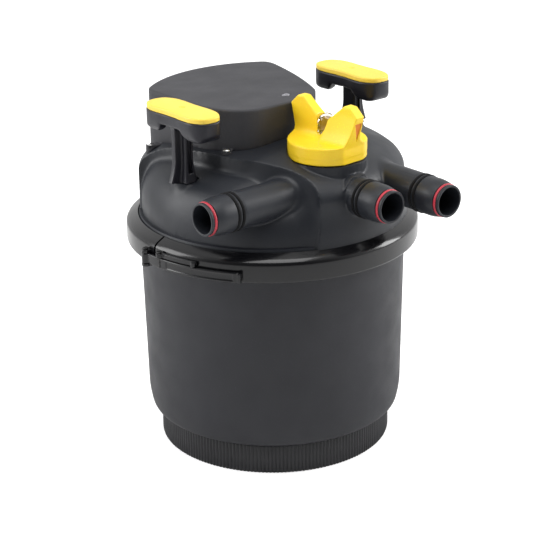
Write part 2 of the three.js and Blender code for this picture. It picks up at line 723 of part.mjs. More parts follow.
place('valve_knob', makeKnob(), YELLOW, 0, VALVE_Y, 0);
place('sight_dome', makeSightDome(), CLEAR_PLASTIC, 0, VALVE_Y, 0);
place('knob_screw', makeKnobScrew(), STEEL, 0, VALVE_Y, 0);
place('valve_rotor', makeRotor(), INNER_GREY, 0, VALVE_Y, 0);
place('rotor_seal', ring(34.9, 37.5, 400.5, 404.5), SEAL_BLACK, 0, VALVE_Y, 0);

place('housing_cover', makeHousing(), HOUSING_GREY);
place('lamp_window', lampWindowShape(0), CLEAR_PLASTIC);
SCREWS.forEach(([x, y], index) => {
  place(`cover_screw_${index + 1}`, makeCoverScrew(), STEEL, x, y, earFloor(x, y) + CLEAR);
});
place('cable_gland', makeGland(), SEAL_BLACK);
place('ballast', makeBallast(), INNER_GREY);
place('lamp_socket', makeLampSocket(), LAMP_WHITE);
place('uv_lamp', makeLamp(), LAMP_WHITE);
place('quartz_sleeve', makeSleeve(), QUARTZ);
place('sleeve_seal', oRing(22.4, 2.8, 424), SEAL_BLACK);
place('sleeve_nut', makeSleeveNut(), INNER_GREY);

for (const [side, x, footZ] of [['left', -ROD_X, LEFT_FOOT], ['right', ROD_X, RIGHT_FOOT]]) {
  place(`handle_${side}`, makeHandle(footZ, Math.sign(x)), HANDLE_BLACK, x, 0, 0);
  place(`grip_insert_${side}`, makeGripInsert(), PALE_YELLOW, x, 0, 0);
  place(`pull_rod_${side}`, makeRod(footZ), STEEL, x, 0, 0);
  place(`rod_seal_${side}`, oRing(7.7, 1.2, 354.5, 16), SEAL_BLACK, x, 0, 0);
  place(`rod_nut_${side}`, makeRodNut(), STEEL, x, 0, 0);
}

place('cage_plate', makeCagePlate(), INNER_GREY);
place('centre_tube', makeCentreTube(), INNER_GREY);
place('squeeze_plate', makeSqueezePlate(), INNER_GREY);
for (let i = 0; i < FOAM_COUNT; i += 1) {
  place(`foam_ring_${i + 1}`, makeFoam(i), FOAM_BLUE);
}

place('latch_lever', makeLever(), GLOSS_BLACK);
place('latch_link', makeLink(), GLOSS_BLACK);
place('lever_pin', makePin(LEVER_Z[0] - 4, LEVER_Z[1] + 4.8), STEEL, PIVOT[0], PIVOT[1], 0);
place('link_pin', makePin(LEVER_Z[0] + 1, LINK_Z[1] + CLEAR), STEEL, LINK_PIVOT[0], LINK_PIVOT[1], 0);

export default filter;
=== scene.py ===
"""Pond pressure filter: the finished look. Shapes are worked out in millimetres and built in metres."""

import json
import math

import bmesh
import bpy
import numpy as np
from mathutils import Matrix, Vector


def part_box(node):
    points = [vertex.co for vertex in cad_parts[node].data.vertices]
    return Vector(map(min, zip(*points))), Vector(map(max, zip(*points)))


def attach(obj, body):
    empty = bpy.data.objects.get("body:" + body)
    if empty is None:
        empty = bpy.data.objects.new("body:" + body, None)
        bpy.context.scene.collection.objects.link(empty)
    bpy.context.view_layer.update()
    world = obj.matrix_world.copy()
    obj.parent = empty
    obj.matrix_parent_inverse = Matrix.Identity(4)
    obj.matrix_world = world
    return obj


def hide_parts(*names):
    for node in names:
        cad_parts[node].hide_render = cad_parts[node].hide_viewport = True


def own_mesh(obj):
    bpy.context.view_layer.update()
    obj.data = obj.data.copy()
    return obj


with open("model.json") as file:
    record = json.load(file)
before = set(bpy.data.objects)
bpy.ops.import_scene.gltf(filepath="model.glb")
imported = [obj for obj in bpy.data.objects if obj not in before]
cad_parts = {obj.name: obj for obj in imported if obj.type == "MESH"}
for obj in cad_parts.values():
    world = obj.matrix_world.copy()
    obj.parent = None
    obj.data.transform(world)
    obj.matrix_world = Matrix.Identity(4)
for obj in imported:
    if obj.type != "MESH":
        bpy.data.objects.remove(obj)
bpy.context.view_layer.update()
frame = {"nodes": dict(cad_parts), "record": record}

MM = 0.001

# ---------------------------------------------------------------- driving dimensions, in millimetres
BASE_R, BASE_H = 157.0, 40.0
BUCKET_LOW_R, BUCKET_TOP_R = 173.0, 177.0
RIM_R, RIM_Z = 188.5, 298.5
BAND_R, BAND_LOW, BAND_HIGH = 195.0, 284.0, 320.0
LID_R, DOME_Z, DOME_RISE = 176.0, 376.0, 56.0
SHELF_R, SHELF_Z, SHELF_RISE = 173.0, 346.0, 62.0
VALVE_Y, TOWER_R, TOWER_TOP = -112.0, 50.0, 416.0
PORT_Z, PORT_R, BORE_R, GROOVE_R = 377.0, 24.0, 18.0, 21.6
PORT_A_MOUTH, PORT_B_MOUTH, PORT_C_X, PORT_C_MOUTH = -203.0, -233.0, 68.0, -264.0
# How far behind its mouth a port leaves the lid's own pipe, and how much thicker that pipe is.
PIPE_END, PIPE_EXTRA = 51.0, 0.3
HOUSING_TOP, HOUSING_REAR_R = 476.5, 165.0
# The bearings between which the housing's rear wall follows the drum, from +X.
REAR_START, REAR_END = 55.0, 127.0
WINDOW_X, WINDOW_Y = 6.0, -24.0
EARS = [(-122, 102), (-99, -31), (84, 16), (103, 76)]
SCREW_HEAD_R = 4.6
HOUSING_LEFT, HOUSING_FRONT = -109.0, -52.0
ROD_X, ROD_HOLE_R, GRIP_TOP, GRIP_LENGTH, GRIP_WIDTH = 143.5, 6.3, 484.0, 124.0, 46.0
LEFT_FOOT, RIGHT_FOOT = 388.0, 409.0
KNOB_R, KNOB_LOW, KNOB_RIM_TOP, KNOB_TOP = 50.5, 417.0, 440.0, 489.0
# The wings lean outwards above KNOB_LEAN_Z by KNOB_LEAN for each unit of height.
KNOB_FLAT, KNOB_REACH, KNOB_LEAN_Z, KNOB_LEAN, KNOB_TURN = 47.0, 58.0, 437.0, 11 / 40, 4.0
# The clamp's parts, as bearings round the band in degrees, and the radius at which they lie.
LEVER_PIVOT, LEVER_END, LINK_PIN, CATCH, SEAM = 176.0, 219.0, 184.5, 199.0, 180.0
LATCH_R = 200.0

CAMERA_EYE = (-1.4215, -1.7244, 1.0903)
CAMERA_MIDDLE = (-0.0266, -0.0362, 0.2377)
CAMERA_ROLL = -0.0149
CAMERA_LENS = 115.5
ROOM_LIGHT, ROOM_FRONT, FLOOR_GLOW = 0.84, 0.12, 0.55
LIGHT_AIM = (0, 0, 0.28)
# Each soft box: azimuth, elevation, distance, size and power.
SOFT_BOXES = {
    "left_box": (-125, 22, 2.2, (1.1, 1.6), 29),
    "right_box": (60, 24, 2.4, (0.9, 1.6), 42),
    "top_box": (-40, 72, 1.9, (1.3, 1.3), 20),
}


# ---------------------------------------------------------------- camera, light and floor
def make_camera():
    """The eye, the point at the middle of the picture, and a slight tilt to one side."""
    data = bpy.data.cameras.new("camera")
    camera = bpy.data.objects.new("camera", data)
    bpy.context.scene.collection.objects.link(camera)
    bpy.context.scene.camera = camera
    data.sensor_width = 36.0
    data.lens = CAMERA_LENS
    eye, middle = Vector(CAMERA_EYE), Vector(CAMERA_MIDDLE)
    forward = (middle - eye).normalized()
    right = forward.cross(Vector((0, 0, 1))).normalized()
    up = right.cross(forward)
    axes = Matrix((right, up, -forward)).transposed() @ Matrix.Rotation(CAMERA_ROLL, 3, "Z")
    camera.matrix_world = Matrix.Translation(eye) @ axes.to_4x4()


def soft_light(name, azimuth, elevation, distance, size, power):
    """A rectangular area light that faces the filter's middle. Azimuth 0 is the front, and 90 the right."""
    data = bpy.data.lights.new(name, "AREA")
    data.shape = "RECTANGLE"
    data.size, data.size_y = size
    data.energy = power
    light = bpy.data.objects.new(name, data)
    bpy.context.scene.collection.objects.link(light)
    a, e = math.radians(azimuth), math.radians(elevation)
    away = Vector((math.sin(a) * math.cos(e), -math.cos(a) * math.cos(e), math.sin(e)))
    light.location = Vector(LIGHT_AIM) + away * distance
    light.rotation_euler = away.to_track_quat("Z", "Y").to_euler()


def make_studio():
    """A white room that is dimmer in front, soft boxes at both sides and above, and a near-white floor."""
    bpy.context.scene.view_settings.view_transform = "Standard"
    world = bpy.data.worlds.new("studio")
    bpy.context.scene.world = world
    world.use_nodes = True
    tree = world.node_tree
    background = tree.nodes["Background"]
    place = tree.nodes.new("ShaderNodeTexCoord")
    facing = tree.nodes.new("ShaderNodeVectorMath")
    facing.operation = "DOT_PRODUCT"
    facing.inputs[1].default_value = (-0.62, -0.76, 0.18)
    tree.links.new(place.outputs["Generated"], facing.inputs[0])
    dim = tree.nodes.new("ShaderNodeMapRange")
    dim.interpolation_type = "SMOOTHSTEP"
    dim.inputs["From Min"].default_value = 0.1
    dim.inputs["From Max"].default_value = 0.95
    dim.inputs["To Min"].default_value = ROOM_LIGHT
    dim.inputs["To Max"].default_value = ROOM_FRONT
    tree.links.new(facing.outputs["Value"], dim.inputs["Value"])
    tree.links.new(dim.outputs["Result"], background.inputs["Strength"])
    background.inputs["Color"].default_value = (1, 1, 1, 1)
    for name, settings in SOFT_BOXES.items():
        soft_light(name, *settings)
    bpy.ops.mesh.primitive_plane_add(size=16)
    floor = bpy.context.object
    floor.name = "floor"
    material = bpy.data.materials.new("floor")
    material.use_nodes = True
    tree = material.node_tree
    shader = tree.nodes["Principled BSDF"]
    shader.inputs["Base Color"].default_value = (0.8, 0.8, 0.8, 1)
    shader.inputs["Roughness"].default_value = 0.9
    shader.inputs["Emission Color"].default_value = (1, 1, 1, 1)
    path = tree.nodes.new("ShaderNodeLightPath")
    glow = tree.nodes.new("ShaderNodeMath")
    glow.operation = "MULTIPLY"
    glow.inputs[1].default_value = FLOOR_GLOW
    tree.links.new(path.outputs["Is Camera Ray"], glow.inputs[0])
    tree.links.new(glow.outputs["Value"], shader.inputs["Emission Strength"])
    floor.data.materials.append(material)


# ---------------------------------------------------------------- materials
class Nodes:
    """A short way to build a material's nodes."""

    def __init__(self, name):
        self.material = bpy.data.materials.new(name)
        self.material.use_nodes = True
        self.tree = self.material.node_tree
        self.shader = self.tree.nodes["Principled BSDF"]
        self.place = self.tree.nodes.new("ShaderNodeTexCoord").outputs["Object"]

    def link(self, source, target):
        self.tree.links.new(source, target)

    def noise(self, scale, detail=3.0, rough=0.5):
        node = self.tree.nodes.new("ShaderNodeTexNoise")
        node.inputs["Scale"].default_value = scale
        node.inputs["Detail"].default_value = detail
        node.inputs["Roughness"].default_value = rough
        self.link(self.place, node.inputs["Vector"])
        return node.outputs["Fac"]

    def ramp(self, value, low, high, from_low=0.3, from_high=0.7):
        node = self.tree.nodes.new("ShaderNodeMapRange")
        node.inputs["From Min"].default_value = from_low
        node.inputs["From Max"].default_value = from_high
        node.inputs["To Min"].default_value = low
        node.inputs["To Max"].default_value = high
        self.link(value, node.inputs["Value"])
        return node.outputs["Result"]

    def mix(self, factor, first, second):
        node = self.tree.nodes.new("ShaderNodeMix")
        node.data_type = "RGBA"
        a = [s for s in node.inputs if s.name == "A" and s.type == "RGBA"][0]
        b = [s for s in node.inputs if s.name == "B" and s.type == "RGBA"][0]
        f = [s for s in node.inputs if s.name == "Factor" and s.type == "VALUE"][0]
        self.link(factor, f)
        for socket, value in ((a, first), (b, second)):
            if isinstance(value, tuple):
                socket.default_value = (*value, 1)
            else:
                self.link(value, socket)
        return [s for s in node.outputs if s.type == "RGBA"][0]

    def bump(self, height, distance):
        node = self.tree.nodes.new("ShaderNodeBump")
        node.inputs["Distance"].default_value = distance
        node.inputs["Strength"].default_value = 1.0
        self.link(height, node.inputs["Height"])
        self.link(node.outputs["Normal"], self.shader.inputs["Normal"])


def scaled(colour, factor):
    return tuple(min(1.0, c * factor) for c in colour)


def moulded_plastic(name, colour, roughness, shine=0.5, grain=0.00006, patchy=0.12, coat=0.0):
    """Injection-moulded plastic: a fine spark-eroded grain, faint cloudiness and uneven sheen."""
    n = Nodes(name)
    clouds = n.ramp(n.noise(9, 4), 0, 1)
    base = n.mix(clouds, scaled(colour, 1 - patchy), scaled(colour, 1 + patchy))
    specks = n.ramp(n.noise(700, 2), 0, 1, 0.62, 0.72)
    n.link(n.mix(specks, base, scaled(colour, 1.35)), n.shader.inputs["Base Color"])
    n.link(n.ramp(n.noise(30, 3), roughness - 0.05, roughness + 0.06), n.shader.inputs["Roughness"])
    n.bump(n.noise(1500, 2, 0.6), grain)
    n.shader.inputs["Specular IOR Level"].default_value = shine
    if coat:
        n.shader.inputs["Coat Weight"].default_value = coat
        n.shader.inputs["Coat Roughness"].default_value = 0.12
    return n.material


def rubber(name, colour, roughness, shine=0.5):
    n = Nodes(name)
    n.shader.inputs["Specular IOR Level"].default_value = shine
    cloudy = n.mix(n.ramp(n.noise(60), 0, 1), scaled(colour, 0.8), scaled(colour, 1.2))
    n.link(cloudy, n.shader.inputs["Base Color"])
    n.link(n.ramp(n.noise(120), roughness - 0.06, roughness + 0.06), n.shader.inputs["Roughness"])
    n.bump(n.noise(900, 2), 0.00003)
    return n.material


def steel(name, dark=(0.55, 0.55, 0.54), pale=(0.78, 0.78, 0.77)):
    n = Nodes(name)
    n.shader.inputs["Metallic"].default_value = 1.0
    n.link(n.mix(n.ramp(n.noise(200), 0, 1), dark, pale), n.shader.inputs["Base Color"])
    n.link(n.ramp(n.noise(500, 2), 0.18, 0.34), n.shader.inputs["Roughness"])
    n.bump(n.noise(1400, 2), 0.00002)
    return n.material


def clear(name, colour, roughness, ior):
    n = Nodes(name)
    n.shader.inputs["Transmission Weight"].default_value = 1.0
    n.shader.inputs["IOR"].default_value = ior
    n.link(n.mix(n.ramp(n.noise(80), 0, 1), scaled(colour, 0.96), colour), n.shader.inputs["Base Color"])
    n.link(n.ramp(n.noise(300), roughness, roughness + 0.05), n.shader.inputs["Roughness"])
    return n.material


def open_foam(name, colour):
    n = Nodes(name)
    cells = n.tree.nodes.new("ShaderNodeTexVoronoi")
    cells.inputs["Scale"].default_value = 260
    n.link(n.place, cells.inputs["Vector"])
    # Painted shade: the pits of the cells are painted darker and their rims lighter, as shade falls into the
    # foam's pores.
    painted_pore_shade = n.ramp(cells.outputs["Distance"], 0, 1, 0.1, 0.6)
    n.link(n.mix(painted_pore_shade, scaled(colour, 0.45), scaled(colour, 1.3)), n.shader.inputs["Base Color"])
    n.shader.inputs["Roughness"].default_value = 0.95
    n.bump(cells.outputs["Distance"], 0.0015)
    return n.material


def make_materials():
    return {
        "bucket": moulded_plastic("bucket_plastic", (0.020, 0.0205, 0.025), 0.50, 0.36),
        "base_ring": moulded_plastic("base_plastic", (0.016, 0.016, 0.019), 0.48),
        "lid": moulded_plastic("lid_plastic", (0.014, 0.016, 0.021), 0.42, 0.4),
        "clamp": moulded_plastic("clamp_plastic", (0.004, 0.004, 0.005), 0.20, 0.3, grain=0.00002, coat=0.35),
        "housing": moulded_plastic("housing_plastic", (0.042, 0.042, 0.047), 0.58, 0.3, grain=0.00009),
        "handle": moulded_plastic("handle_plastic", (0.012, 0.012, 0.017), 0.36, 0.4),
        "insert": moulded_plastic("insert_plastic", (0.88, 0.62, 0.07), 0.42, patchy=0.03),
        "knob": moulded_plastic("knob_plastic", (1.0, 0.66, 0.015), 0.40, patchy=0.02),
        "pointer": moulded_plastic("pointer_plastic", (0.78, 0.22, 0.01), 0.5, patchy=0.05),
        "inner": moulded_plastic("inner_plastic", (0.030, 0.031, 0.034), 0.55),
        "rubber_black": rubber("black_rubber", (0.003, 0.003, 0.0035), 0.7, shine=0.2),
        "rubber_red": rubber("red_silicone", (0.46, 0.025, 0.045), 0.42),
        "steel": steel("bright_steel"),
        "pin": steel("blackened_steel", (0.03, 0.03, 0.03), (0.07, 0.07, 0.07)),
        "lens": moulded_plastic("window_lens", (0.22, 0.22, 0.24), 0.14, grain=0.00001, patchy=0.05),
        "clear": clear("clear_plastic", (0.95, 0.96, 0.97), 0.02, 1.49),
        "quartz": clear("quartz_glass", (0.97, 0.98, 0.99), 0.01, 1.46),
        "ceramic_white": moulded_plastic("lamp_holder_white", (0.75, 0.75, 0.72), 0.4, patchy=0.03),
        "foam": open_foam("filter_foam", (0.05, 0.11, 0.22)),
    }


# ---------------------------------------------------------------- meshes
def build(name, vertices, faces, material, body, slot, replaced=(), angle=32.0, matrix=None):
    """Makes a piece from millimetres, merges what coincides, smooths it up to an angle and lets it ride."""
    mesh = bpy.data.meshes.new(name)
    points = np.asarray(vertices, float) * MM
    if matrix is not None:
        points = points @ np.array(matrix.to_3x3()).T + np.array(matrix.translation)
    mesh.from_pydata([tuple(p) for p in points], [], [list(f) for f in faces])
    work = bmesh.new()
    work.from_mesh(mesh)
    bmesh.ops.remove_doubles(work, verts=work.verts, dist=2e-6)
    bmesh.ops.dissolve_degenerate(work, edges=work.edges, dist=1e-6)
    bmesh.ops.recalc_face_normals(work, faces=work.faces)
    work.to_mesh(mesh)
    work.free()
    return finish_piece(name, mesh, material, body, replaced, angle)


def finish_piece(name, mesh, material, body, replaced, angle):
    mesh.polygons.foreach_set("use_smooth", [True] * len(mesh.polygons))
    mesh.set_sharp_from_angle(angle=math.radians(angle))
    mesh.materials.append(material)
    piece = bpy.data.objects.new(name, mesh)
    bpy.context.scene.collection.objects.link(piece)
    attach(piece, body)
    if replaced:
        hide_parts(*replaced)
    return piece


def rounded(corners, steps=4):
    """A closed outline whose corners are (x, y) or (x, y, fillet)."""
    out = []
    count = len(corners)
    for i, corner in enumerate(corners):
        here = np.array(corner[:2], float)
        fillet = corner[2] if len(corner) > 2 else 0.0
        if fillet <= 0:
            out.append(tuple(here))
            continue
        before = np.array(corners[i - 1][:2], float) - here
        after = np.array(corners[(i + 1) % count][:2], float) - here
        reach = min(fillet, 0.49 * np.linalg.norm(before), 0.49 * np.linalg.norm(after))
        start = here + before / np.linalg.norm(before) * reach
        end = here + after / np.linalg.norm(after) * reach
        for t in np.linspace(0, 1, steps + 1):
            out.append(tuple((1 - t) ** 2 * start + 2 * t * (1 - t) * here + t * t * end))
    return out


def spun(profile, segments, start=0.0, turn=360.0):
    """Turns a closed outline of (radius, height) about Z. A part turn gets end caps."""
    whole = turn >= 360.0
    rings = segments if whole else segments + 1
    angles = np.radians(start + turn * np.arange(rings) / segments)
    r, z = np.array(profile, float).T
    vertices = np.stack([np.outer(np.cos(angles), r), np.outer(np.sin(angles), r),
                         np.tile(z, (rings, 1))], axis=-1).reshape(-1, 3)
    n = len(profile)
    faces = []
    for i in range(segments):
        a, b = i * n, ((i + 1) % rings) * n
        for j in range(n):
            k = (j + 1) % n
            faces.append((a + j, b + j, b + k, a + k))
    if not whole:
        faces.append(tuple(range(n)))
        faces.append(tuple(range((rings - 1) * n, rings * n)))
    return vertices, faces


def on_circle(radius, degrees):
    return radius * math.cos(math.radians(degrees)), radius * math.sin(math.radians(degrees))


def arc(radius, start, end, steps):
    return [on_circle(radius, degrees) for degrees in np.linspace(start, end, steps + 1)]


def oval(x, y, half_width, half_height):
    """A ring's oval section round its middle."""
    angles = np.linspace(0, 2 * math.pi, 16, endpoint=False)
    return [(x + half_width * math.cos(t), y + half_height * math.sin(t)) for t in angles]


# ---------------------------------------------------------------- carved shapes, from distances
def join(a, b, k=0.0):
    """Union of two distances, with a fillet of about k, which may vary over space."""
    if np.ndim(k) == 0 and k <= 0:
        return np.minimum(a, b)
    h = np.maximum(k - np.abs(a - b), 0) / k
    return np.minimum(a, b) - h * h * k * 0.25


def ease(value, start, end):
    """0 before start, 1 after end, and smooth between."""
    t = np.clip((value - start) / (end - start), 0, 1)
    return t * t * (3 - 2 * t)


def both(a, b, k=0.0):
    """What two shapes share, with an edge rounded by about k."""
    return -join(-a, -b, k)


def cut(a, b, k=0.0):
    """The first shape less the second."""
    return -join(-a, b, k)


def slab(value, low, high):
    """Distance to the space between two parallel planes."""
    return np.maximum(low - value, value - high)


def brick(X, Y, Z, low, high, edge=0.0):
    """Distance to a box with rounded edges."""
    q = [np.abs(v - (a + b) / 2) - (b - a) / 2 + edge for v, a, b in zip((X, Y, Z), low, high)]
    outside = np.sqrt(sum(np.maximum(v, 0) ** 2 for v in q))
    return outside + np.minimum(np.maximum(np.maximum(q[0], q[1]), q[2]), 0) - edge


def outline_distance(X, Y, outline):
    """Signed distance to a closed outline, negative inside."""
    points = np.array(outline, float)
    best = None
    sign = None
    for (ax, ay), (bx, by) in zip(points, np.roll(points, -1, axis=0)):
        ex, ey = bx - ax, by - ay
        wx, wy = X - ax, Y - ay
        t = np.clip((wx * ex + wy * ey) / (ex * ex + ey * ey), 0, 1)
        d = (wx - ex * t) ** 2 + (wy - ey * t) ** 2
        crosses = ((Y >= ay) != (Y >= by)) & ((ey > 0) == (ex * wy - ey * wx > 0) if ey else False)
        best = d if best is None else np.minimum(best, d)
        sign = crosses if sign is None else sign ^ crosses
    return np.where(sign, -1.0, 1.0) * np.sqrt(best)


CORNERS = [(i, j, k) for i in (0, 1) for j in (0, 1) for k in (0, 1)]
EDGES = [(a, b) for a in range(8) for b in range(a + 1, 8)
         if sum(x != y for x, y in zip(CORNERS[a], CORNERS[b])) == 1]


def carved(field, low, high, step):
    """The surface where a distance field is 0, by surface nets, then settled onto it in three rounds."""
    axes = [np.arange(a, b + step, step, dtype=np.float32) for a, b in zip(low, high)]
    X, Y, Z = axes[0][:, None, None], axes[1][None, :, None], axes[2][None, None, :]
    size = [len(a) for a in axes]
    value = np.broadcast_to(field(X, Y, Z), size).astype(np.float32)
    inside = value < 0
    cells = tuple(n - 1 for n in size)
    count = np.zeros(cells, np.int8)
    for i, j, k in CORNERS:
        count += inside[i:i + cells[0], j:j + cells[1], k:k + cells[2]]
    active = np.argwhere((count > 0) & (count < 8))
    corner = np.stack([value[tuple((active + c).T)] for c in CORNERS], axis=1)
    total = np.zeros((len(active), 3))
    hits = np.zeros(len(active))
    for a, b in EDGES:
        crossing = (corner[:, a] < 0) != (corner[:, b] < 0)
        t = np.where(crossing, corner[:, a] / np.where(crossing, corner[:, a] - corner[:, b], 1), 0)
        ca, cb = np.array(CORNERS[a], float), np.array(CORNERS[b], float)
        total += np.where(crossing[:, None], ca + t[:, None] * (cb - ca), 0)
        hits += crossing
    points = np.array(low) + (active + total / hits[:, None]) * step
    number = np.full(cells, -1, np.int64)
    number[tuple(active.T)] = np.arange(len(active))
    faces = []
    for axis in range(3):
        u, v = (axis + 1) % 3, (axis + 2) % 3
        near = [slice(1, -1)] * 3
        near[axis] = slice(0, -1)
        far = list(near)
        far[axis] = slice(1, None)
        a, b = inside[tuple(near)], inside[tuple(far)]
        at = np.argwhere(a != b)
        start = a[tuple(at.T)]
        at[:, u] += 1
        at[:, v] += 1
        around = []
        for du, dv in ((1, 1), (0, 1), (0, 0), (1, 0)):
            cell = at.copy()
            cell[:, u] -= du
            cell[:, v] -= dv
            around.append(number[tuple(cell.T)])
        quad = np.stack(around, axis=1)
        quad[~start] = quad[~start][:, ::-1]
        faces.append(quad)
    faces = np.concatenate(faces)
    tiny = 0.05
    nudges = tiny * np.eye(3)
    for _ in range(3):
        f = field(*points.T)
        rises = [field(*(points + nudge).T) - field(*(points - nudge).T) for nudge in nudges]
        slope = np.stack([rise / (2 * tiny) for rise in rises], axis=1)
        move = (f / np.maximum((slope ** 2).sum(1), 1e-3))[:, None] * slope
        far = np.linalg.norm(move, axis=1)
        move *= np.minimum(1, 0.35 * step / np.maximum(far, 1e-9))[:, None]
        points = points - move
    return points, faces


def carve(name, field, low, high, step, material, body, replaced=(), keep=1.0, angle=40.0,
          matrix=None):
    """A piece whose surface is where the field is 0. keep below 1 thins the mesh where it is smooth."""
    points, faces = carved(field, low, high, step)
    points = points * MM
    if matrix is not None:
        points = points @ np.array(matrix.to_3x3()).T + np.array(matrix.translation)
    mesh = bpy.data.meshes.new(name)
    mesh.vertices.add(len(points))
    mesh.vertices.foreach_set("co", points.astype(np.float32).ravel())
    mesh.loops.add(faces.size)
    mesh.loops.foreach_set("vertex_index", faces.astype(np.int32).ravel())
    mesh.polygons.add(len(faces))
    mesh.polygons.foreach_set("loop_start", np.arange(0, faces.size, 4, dtype=np.int32))
    mesh.update(calc_edges=True)
    mesh.validate()
    if keep < 1.0:
        thin = bpy.data.objects.new(name + "_thin", mesh)
        bpy.context.scene.collection.objects.link(thin)
        modifier = thin.modifiers.new("thin", "DECIMATE")
        modifier.ratio = keep
        evaluated = thin.evaluated_get(bpy.context.evaluated_depsgraph_get())
        mesh = bpy.data.meshes.new_from_object(evaluated)
        bpy.data.objects.remove(thin)
        mesh.name = name
    return finish_piece(name, mesh, material, body, replaced, angle)


# ---------------------------------------------------------------- canister
def make_bucket(m):
    profile = rounded([
        (0, 20), (140, 20, 4), (146, 26, 3), (146, 40.6), (157.6, 40.6, 1.5), (168.5, 46, 9),
        (BUCKET_LOW_R, 68, 14), (BUCKET_TOP_R, 280, 3), (RIM_R, 291.8, 1.5), (RIM_R, RIM_Z, 0.6),
        (184.2, RIM_Z), (184.2, 294.5), (178.8, 294.5), (178.8, RIM_Z), (173, RIM_Z, 0.6),
        (169, 68, 14), (161, 49, 6), (142, 44, 4), (142, 24, 3), (0, 24)])
    build("bucket_body", *spun(profile, 192), m["bucket"], "canister", "bucket", ["bucket"])


def make_base_ring(m):
    """The foot ring, with fine upright ribs all round its wall."""
    ribs = 196
    per_rib = 6
    angles = np.linspace(0, 2 * math.pi, ribs * per_rib, endpoint=False)
    wave = 0.5 + 0.5 * np.cos(angles * ribs)
    radius = BASE_R - 1.3 + 1.3 * wave ** 0.7
    levels = [(0.0, 0.0, 2.0), (1.0, 0.4, 1.0), (1.0, 2.0, 0.0), (1.0, BASE_H - 1.5, 0.0),
              (1.0, BASE_H - 0.4, 0.6)]
    n = len(angles)
    rings = []
    for share, z, inset in levels:
        r = (BASE_R - 1.6) * (1 - share) + radius * share - inset
        rings.append(np.column_stack([r * np.cos(angles), r * np.sin(angles), np.full(n, z)]))
    for r, z in ((BASE_R - 2.6, BASE_H), (BASE_R - 7, BASE_H), (BASE_R - 7, 5.0)):
        rings.append(np.column_stack([r * np.cos(angles), r * np.sin(angles), np.full(n, z)]))
    vertices = np.concatenate(rings)
    faces = [tuple(reversed(range(n))), tuple(range((len(rings) - 1) * n, len(rings) * n))]
    for level in range(len(rings) - 1):
        for j in range(n):
            k = (j + 1) % n
            a = level * n
            faces.append((a + j, a + k, a + n + k, a + n + j))
    build("ribbed_base", vertices, faces, m["base_ring"], "canister", "base_ring", ["base_ring"], angle=50)


def make_band(m):
    profile = rounded([
        (BAND_R - 1.2, BAND_LOW, 1.2), (BAND_R, BAND_LOW + 2, 1.5), (BAND_R, 309, 3.0),
        (BAND_R - 3.5, 313.5, 3), (179, BAND_HIGH, 1.2), (179, 317), (190, 311.5), (190, 289), (180, 287.5),
        (180, BAND_LOW, 0.8)])
    gap = 0.5
    build("clamp_band_ring", *spun(profile, 220, SEAM + gap, 360 - 2 * gap), m["clamp"], "canister", "clamp",
          ["clamp_band"])


# ---------------------------------------------------------------- lid
def high_dome(X, Y, Z):
    """Distance to a drum with an elliptical dome on it."""
    r = np.hypot(X, Y)
    up = np.maximum(Z - DOME_Z, 0)
    share = np.sqrt((r / LID_R) ** 2 + (up / DOME_RISE) ** 2)
    slope = np.sqrt((r / LID_R ** 2) ** 2 + (up / DOME_RISE ** 2) ** 2)
    return share * (share - 1) / np.maximum(slope, 1e-6)


def low_shelf(X, Y, Z):
    """The lower part of the lid, which stands a little higher at the back than in front."""
    r = np.hypot(X, Y)
    height = SHELF_Z + SHELF_RISE * np.sqrt(np.maximum(1 - np.minimum(r / LID_R, 1) ** 3, 0))
    height = height + 6 * ease(Y, 0, 90) - 14 * ease(-Y, 70, 130)
    return both((Z - height) * 0.75, r - SHELF_R, 22)


# Seen from above, where the lid's high part ends and the shelf begins.
SHELF_EDGE = [
    (-150, 110), (-139, 104), (-129, 91), (-121, 62), (-116.5, 15), (-112.5, -10), (-107, -36), (-99, -57),
    (-88, -76), (-78.5, -95), (-68.5, -114), (-61, -134), (-57, -154), (-62, -180)]


def smooth_curve(points, per_span=5):
    """A Catmull-Rom curve through the points."""
    p = [np.array(q, float) for q in points]
    p = [2 * p[0] - p[1]] + p + [2 * p[-1] - p[-2]]
    out = []
    for a, b, c, d in zip(p, p[1:], p[2:], p[3:]):
        for t in np.linspace(0, 1, per_span, endpoint=False):
            square = (2 * a - 5 * b + 4 * c - d) * t * t
            cube = (3 * b - a - 3 * c + d) * t ** 3
            out.append(0.5 * (2 * b + (c - a) * t + square + cube))
    out.append(p[-2])
    return [tuple(q) for q in out]


HIGH_PLAN = smooth_curve(SHELF_EDGE) + [(-62, -270), (270, -270), (270, 270), (-270, 270), (-270, 110)]


def valve_block(X, Y, Z):
    """The square shoulder below the valve: upright faces with slanting facets above them."""
    block = brick(X, Y, Z, (-57, -155, 300), (50, -70, 408))
    left = Z - 362 - 2.1 * (X + 57) * (1 - 0.45 * ease(-Y, 118, 155))
    front = Z - 377 - 0.62 * (Y + 155)
    corner = Z - 366 - 0.75 * (X + 57) - 0.45 * (Y + 155)
    block = both(block, left * 0.45, 0.8)
    block = both(block, front * 0.85, 0.8)
    block = both(block, corner * 0.75, 0.8)
    return both(block, (Z - 372 - 1.1 * (50 - X)) * 0.673, 1)


